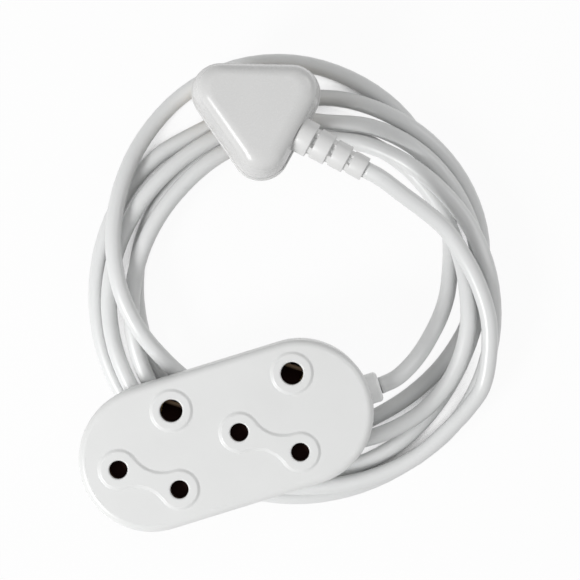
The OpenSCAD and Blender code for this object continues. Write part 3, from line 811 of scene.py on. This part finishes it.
# ---- what repeats: a rib or a screw is drawn once and set out by Geometry Nodes
class Pattern:
    """A Geometry Nodes tree with named inputs that sets out one piece many times."""

    def __init__(self, name, inputs):
        self.tree = bpy.data.node_groups.new(name, "GeometryNodeTree")
        face = self.tree.interface
        face.new_socket("Geometry", in_out="INPUT", socket_type="NodeSocketGeometry")
        face.new_socket("Geometry", in_out="OUTPUT", socket_type="NodeSocketGeometry")
        self.values = {}
        for label, (kind, value) in inputs.items():
            socket = face.new_socket(label, in_out="INPUT", socket_type=kind)
            self.values[socket.identifier] = value
        self.given = self.tree.nodes.new("NodeGroupInput")

    def input(self, label):
        """The wire of a named input."""
        return self.given.outputs[label]

    def node(self, kind, settings=None, inputs=None):
        """A node with its settings first, then values or links on its sockets."""
        node = self.tree.nodes.new(kind)
        for key, value in (settings or {}).items():
            setattr(node, key, value)
        for key, value in (inputs or {}).items():
            if isinstance(value, bpy.types.NodeSocket):
                self.tree.links.new(value, node.inputs[key])
            else:
                node.inputs[key].default_value = value
        return node

    def reckon(self, kind, a, b):
        """One Math node on two sockets or numbers."""
        return self.node("ShaderNodeMath", {"operation": kind}, {0: a, 1: b}).outputs[0]

    def vector(self, x=0.0, y=0.0, z=0.0):
        """A vector of three numbers or wires."""
        return self.node("ShaderNodeCombineXYZ", inputs={0: x, 1: y, 2: z}).outputs[0]

    def row(self, count, start, offset):
        """Points in a straight row."""
        line = self.node("GeometryNodeMeshLine", {"mode": "OFFSET"},
                         {"Count": count, "Start Location": start, "Offset": offset})
        return line.outputs[0]

    def set_out(self, points, piece, scale, turn=(0, 0, 0)):
        """The piece on each point, scaled and turned."""
        placed = self.node("GeometryNodeInstanceOnPoints",
                           inputs={"Points": points, "Instance": piece, "Scale": scale, "Rotation": turn})
        return placed.outputs[0]

    def finish(self, parts, material):
        """Joins the parts, makes them real and gives them their material."""
        join = self.node("GeometryNodeJoinGeometry")
        for part in parts:
            self.tree.links.new(part, join.inputs[0])
        real = self.node("GeometryNodeRealizeInstances", inputs={0: join.outputs[0]})
        dressed = self.node("GeometryNodeSetMaterial", inputs={0: real.outputs[0]})
        dressed.inputs["Material"].default_value = material
        self.tree.links.new(dressed.outputs[0], self.node("NodeGroupOutput").inputs[0])

    def grow(self, name, form):
        """A mesh in metres made from one drawn piece by the tree."""
        mesh = bpy.data.meshes.new(name)
        for face in form.faces:
            face.smooth = True
        form.to_mesh(mesh)
        form.free()
        piece = new_piece(name, mesh)
        maker = piece.modifiers.new("pattern", "NODES")
        maker.node_group = self.tree
        for identifier, value in self.values.items():
            maker[identifier] = value
        baked(piece)
        return piece


def settle(piece, replaced, place, crease):
    """Puts a grown piece in its place, crisp past an angle in degrees, and hands it to the frame."""
    piece.data.transform(place)
    piece.data.set_sharp_from_angle(angle=math.radians(crease))
    hand_over(piece, replaced)


def turned(profile, sides):
    """Bmesh turned about X from a profile of (along, radius) points in millimetres."""
    form = bmesh.new()
    rings = []
    for along, radius in profile:
        around = arc(0, 0, radius, 0, 360, sides)
        rings.append([form.verts.new((along * MM, y * MM, z * MM)) for y, z in around])
    for low, high in zip(rings, rings[1:]):
        skin(form, low, high)
    return form, rings


RIBS = 4
RIB_GAP = 1.5
RELIEF_R = (7.2, 4.9)
RELIEF_ROOT = 1.0
RELIEF_CORE_R = 2.2
WEB_W = 3.0
WEB_IN = 0.5
WEB_TURNS = (45, -45)
RIB_ROUND = 0.55
RIB_STEPS = 4
RIB_SIDES = 56
CORE_SIDES = 40
BOTH_SIDES = 2.0
CENTRED = 0.5


def make_relief():
    """Strain relief: rounded ribs set out along a core, each smaller than the last, with crossed webs."""
    pitch = (RELIEF_L + RELIEF_ROOT + RIB_GAP) / RIBS
    rib_l = pitch - RIB_GAP
    tree = Pattern("strain_relief", {
        "Ribs": ("NodeSocketInt", RIBS),
        "Pitch": ("NodeSocketFloat", pitch * MM),
        "Rib Length": ("NodeSocketFloat", rib_l * MM),
        "Root Radius": ("NodeSocketFloat", RELIEF_R[0] * MM),
        "Tip Radius": ("NodeSocketFloat", RELIEF_R[1] * MM),
        "Core Radius": ("NodeSocketFloat", RELIEF_CORE_R * MM),
        "Web Width": ("NodeSocketFloat", WEB_W * MM),
        "Web Drop": ("NodeSocketFloat", WEB_IN * MM),
    })
    index = tree.node("GeometryNodeInputIndex").outputs[0]
    gaps = tree.reckon("SUBTRACT", tree.input("Ribs"), 1)
    taper = tree.reckon("SUBTRACT", tree.input("Tip Radius"), tree.input("Root Radius"))
    step = tree.reckon("DIVIDE", taper, gaps)

    radius = tree.reckon("ADD", tree.input("Root Radius"), tree.reckon("MULTIPLY", step, index))
    swell = tree.reckon("DIVIDE", radius, tree.input("Root Radius"))
    along = tree.vector(x=tree.input("Pitch"))
    ribs = tree.set_out(tree.row(tree.input("Ribs"), (0, 0, 0), along), tree.input("Geometry"),
                        tree.vector(1.0, swell, swell))

    next_radius = tree.reckon("ADD", radius, step)
    reach = tree.reckon("SUBTRACT", next_radius, tree.input("Web Drop"))
    half_rib = tree.reckon("MULTIPLY", tree.input("Rib Length"), CENTRED)
    half_pitch = tree.reckon("MULTIPLY", tree.input("Pitch"), CENTRED)
    web_l = tree.reckon("SUBTRACT", tree.input("Pitch"), half_rib)
    size = tree.vector(web_l, tree.input("Web Width"), BOTH_SIDES)
    bar = tree.node("GeometryNodeMeshCube", inputs={"Size": size})
    middle = tree.reckon("ADD", tree.input("Rib Length"), half_pitch)
    web_x = tree.reckon("SUBTRACT", middle, half_rib)
    webs = []
    for degrees in WEB_TURNS:
        row = tree.row(gaps, tree.vector(x=web_x), along)
        turn = (math.radians(degrees), 0, 0)
        webs.append(tree.set_out(row, bar.outputs[0], tree.vector(1.0, 1.0, reach), turn))

    core_l = tree.reckon("ADD", tree.reckon("MULTIPLY", tree.input("Pitch"), gaps), tree.input("Rib Length"))
    core = tree.node("GeometryNodeMeshCylinder", inputs={
        "Vertices": CORE_SIDES, "Radius": tree.input("Core Radius"), "Depth": core_l})
    laid = tree.node("GeometryNodeTransform", inputs={
        "Geometry": core.outputs[0], "Rotation": (0, math.pi / 2, 0),
        "Translation": tree.vector(x=tree.reckon("MULTIPLY", core_l, CENTRED))})
    tree.finish([ribs, *webs, laid.outputs[0]], relief_white)

    rounding = [(RIB_ROUND * (1 - math.cos(a)), RELIEF_R[0] - RIB_ROUND * (1 - math.sin(a)))
                for a in (math.pi / 2 * k / RIB_STEPS for k in range(RIB_STEPS + 1))]
    profile = [(0, CORD_D / 2)] + rounding
    profile += [(rib_l - x, r) for x, r in reversed(rounding)] + [(rib_l, CORD_D / 2)]
    form, rings = turned(profile, RIB_SIDES)
    skin(form, rings[-1], rings[0])
    bmesh.ops.recalc_face_normals(form, faces=form.faces)
    piece = tree.grow("ribbed_relief", form)
    root = Matrix.Translation(place_plug(RELIEF_X - RELIEF_ROOT, 0, RELIEF_Z) * MM)
    settle(piece, "plug_strain_relief", root @ Matrix.Rotation(PLUG_TURN, 4, "Z"), crease=40)
    return piece


POSTS = [(-48, 15.5), (-48, -15.5), (3.5, 21.8), (3.5, -21.8), (50.5, 9.5), (50.5, -9.5)]
SCREW_SEAT_Z = -13
SCREW_R = 1.5
SCREW_TOP_Z = 8
SCREW_HEAD_R = 2.8
SCREW_HEAD_H = 2
SCREW_SIDES = 24
SLOT_W = 0.8
SLOT_DEPTH = 0.9
SLOT_SPAN = 1.1
DOME_STEPS = 6
DOME_CURVE = (0.7, 0.8)
THREAD_FROM = 0.4
THREAD_PITCH = 1.0
THREAD_DEPTH = 0.22
TIP_SHARE = 0.6


def make_screws():
    """Pan-head screws that hold base to cover: one drawn lying along X, stood on each post."""
    tree = Pattern("housing_screws", {
        "Slot Width": ("NodeSocketFloat", SLOT_W * MM),
        "Slot Depth": ("NodeSocketFloat", SLOT_DEPTH * MM),
        "Head Radius": ("NodeSocketFloat", SCREW_HEAD_R * MM),
        "Head Height": ("NodeSocketFloat", SCREW_HEAD_H * MM),
    })
    slot_l = tree.reckon("MULTIPLY", tree.input("Head Radius"), SLOT_SPAN)
    screw = tree.input("Geometry")
    deep = tree.reckon("MULTIPLY", tree.input("Slot Depth"), BOTH_SIDES)
    away = tree.vector(x=tree.reckon("MULTIPLY", tree.input("Head Height"), -1.0))
    for size in ((slot_l, tree.input("Slot Width")), (tree.input("Slot Width"), slot_l)):
        bar = tree.node("GeometryNodeMeshCube", inputs={"Size": tree.vector(deep, *size)})
        moved = tree.node("GeometryNodeTransform", inputs={"Geometry": bar.outputs[0], "Translation": away})
        cut = tree.node("GeometryNodeMeshBoolean", {"operation": "DIFFERENCE", "solver": "EXACT"},
                        {"Mesh 1": screw, "Mesh 2": moved.outputs[0]})
        screw = cut.outputs[0]
    seats = tree.node("GeometryNodeJoinGeometry")
    for x, y in POSTS:
        seat = (x * MM, y * MM, SCREW_SEAT_Z * MM)
        post = tree.node("GeometryNodePoints", inputs={"Count": 1, "Position": seat})
        tree.tree.links.new(post.outputs[0], seats.inputs[0])
    stood = tree.set_out(seats.outputs[0], screw, (1, 1, 1), (0, -math.pi / 2, 0))
    tree.finish([stood], zinc)

    dome = [(-SCREW_HEAD_H * math.cos(a) ** DOME_CURVE[0], SCREW_HEAD_R * math.sin(a) ** DOME_CURVE[1])
            for a in (math.pi / 2 * k / DOME_STEPS for k in range(1, DOME_STEPS + 1))]
    length = SCREW_TOP_Z - SCREW_SEAT_Z
    thread = []
    for k in range(int(length / THREAD_PITCH) - 1):
        at = THREAD_FROM + k * THREAD_PITCH
        thread += [(at, SCREW_R - THREAD_DEPTH), (at + THREAD_PITCH / 2, SCREW_R)]
    form, rings = turned(dome + thread + [(length - THREAD_FROM, SCREW_R * TIP_SHARE)], SCREW_SIDES)
    form.faces.new(list(reversed(rings[0])))
    form.faces.new(rings[-1])
    bmesh.ops.recalc_face_normals(form, faces=form.faces)
    settle(tree.grow("cover_screws", form), "housing_screws", Matrix.Identity(4), crease=35)


SPRING_R = 1.8
SPRING_WIRE_R = 0.2
SPRING_CURLS = 5
CURL_STEPS = 24
WIRE_SIDES = 10
SPRING_FROM_Y = -17.7
SPRING_TO_Y = -26.8
SPRING_Z = 9.65


def make_spring(name, node_name, x):
    """Return spring behind a shutter: a coil of round wire."""
    length = SPRING_FROM_Y - SPRING_TO_Y
    tree = Pattern(name, {
        "Coil Radius": ("NodeSocketFloat", SPRING_R * MM),
        "Wire Radius": ("NodeSocketFloat", SPRING_WIRE_R * MM),
        "Curls": ("NodeSocketFloat", SPRING_CURLS),
        "Length": ("NodeSocketFloat", length * MM),
    })
    radius = tree.input("Coil Radius")
    coil = tree.node("GeometryNodeCurveSpiral", inputs={
        "Resolution": CURL_STEPS, "Rotations": tree.input("Curls"), "Height": tree.input("Length"),
        "Start Radius": radius, "End Radius": radius})
    wire = tree.node("GeometryNodeCurvePrimitiveCircle", inputs={
        "Resolution": WIRE_SIDES, "Radius": tree.input("Wire Radius")})
    drawn = tree.node("GeometryNodeCurveToMesh", inputs={
        "Curve": coil.outputs[0], "Profile Curve": wire.outputs[0], "Fill Caps": True})
    tree.finish([drawn.outputs[0]], spring_steel)
    piece = tree.grow(name, bmesh.new())
    (x0, y0), (x1, y1) = at_outlet(x, [(0, SPRING_FROM_Y), (0, SPRING_TO_Y - SPRING_WIRE_R)])
    way = Vector((x1 - x0, y1 - y0, 0)).normalized()
    start = Matrix.Translation(Vector((x0, y0, SPRING_Z)) * MM)
    settle(piece, node_name, start @ way.to_track_quat("Z", "Y").to_matrix().to_4x4(), crease=60)
    x1 * MM
    y1 * MM
    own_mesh(piece)


relief = make_relief()
make_screws()
make_spring("return_spring_left", "shutter_spring_left", OUTLETS_X[0])
make_spring("return_spring_right", "shutter_spring_right", OUTLETS_X[1])

# ---- floor, world and lamps
FLOOR_SPAN = 3
FLOOR_GAP = 0.0001
BACKDROP_SHARE = 0.94
CREVICE = 0.01
CREVICE_SAMPLES = 8
OPEN_AIR = (0.17, 0.42)
FLOOR_TONE = (0.72, 0.72, 0.72)
# dark grey painted on the floor as shade in narrow gaps between the turns
FLOOR_GAP_SHADE = (0.2, 0.2, 0.2)
WORLD_FILL = 0.42
AIM = Vector((0.04, 0.05, -0.01))
LAMPS = (
    {"name": "key", "azimuth": 215, "elevation": 41, "distance": 1.3, "size": 0.4, "power": 12.0},
    {"name": "top", "azimuth": 140, "elevation": 75, "distance": 1.5, "size": 1.0, "power": 1.2},
    {"name": "rim", "azimuth": 35, "elevation": 33, "distance": 1.4, "size": 0.6, "power": 3.2},
)


def make_floor():
    """Pale floor that stays white in view, keeps the lead's soft shadow and darkens in narrow gaps: there
    its white glow fades and its colour turns to a painted shade of dark grey.
    """
    mesh = bpy.data.meshes.new("floor")
    half = FLOOR_SPAN / 2
    z = FLOOR_Z * MM - FLOOR_GAP
    corners = [(-half, -half, z), (half, -half, z), (half, half, z), (-half, half, z)]
    mesh.from_pydata(corners, [], [(0, 1, 2, 3)])
    floor = new_piece("floor", mesh)
    finish = Finish("floor_white")
    finish.set("Roughness", 0.9)
    seen = finish.node("ShaderNodeLightPath")
    kinds = ("Is Camera Ray", "Is Glossy Ray", "Is Transmission Ray")
    camera, glossy, passed = [Wire(finish.tree, seen.outputs[kind]) for kind in kinds]
    glow = finish.node("ShaderNodeEmission", Color=(1, 1, 1, 1), Strength=1.0)
    blend = finish.node("ShaderNodeMixShader")
    crevice = finish.node("ShaderNodeAmbientOcclusion", {"samples": CREVICE_SAMPLES}, Distance=CREVICE)
    open_air = finish.ramp(Wire(finish.tree, crevice.outputs["AO"]), *OPEN_AIR)
    # painted shade: the floor's colour turns dark grey where ambient occlusion finds a narrow gap
    finish.colour(finish.mix(open_air, FLOOR_GAP_SHADE, FLOOR_TONE))
    finish.put(blend.inputs[0], (camera + glossy + passed) * open_air * BACKDROP_SHARE)
    finish.tree.links.new(finish.shader.outputs[0], blend.inputs[1])
    finish.tree.links.new(glow.outputs[0], blend.inputs[2])
    finish.tree.links.new(blend.outputs[0], finish.tree.nodes["Material Output"].inputs[0])
    dress(floor, finish.material)


def make_world():
    """White in view, and a plain soft fill for the lead."""
    world = bpy.data.worlds.new("studio")
    bpy.context.scene.world = world
    world.use_nodes = True
    tree = world.node_tree
    back = tree.nodes["Background"]
    back.inputs["Color"].default_value = (1, 1, 1, 1)
    path = tree.nodes.new("ShaderNodeLightPath")
    level = Wire(tree, path.outputs["Is Camera Ray"]) * (1 - WORLD_FILL) + WORLD_FILL
    tree.links.new(level.socket, back.inputs["Strength"])


def make_lamp(name, azimuth, elevation, distance, size, power):
    """Square soft box that looks at the lead; azimuth 0 is to the right of the camera's view."""
    data = bpy.data.lights.new(name, "AREA")
    data.shape = "SQUARE"
    data.size = size
    data.energy = power
    lamp = bpy.data.objects.new(name, data)
    a = math.radians(azimuth) + ROLL
    e = math.radians(elevation)
    away = Vector((math.cos(a) * math.cos(e), math.sin(a) * math.cos(e), math.sin(e)))
    lamp.location = AIM + away * distance
    lamp.rotation_euler = away.to_track_quat("Z", "Y").to_euler()
    bpy.context.scene.collection.objects.link(lamp)


make_floor()
make_world()
for lamp in LAMPS:
    make_lamp(**lamp)
bpy.context.scene.view_settings.view_transform = "Standard"
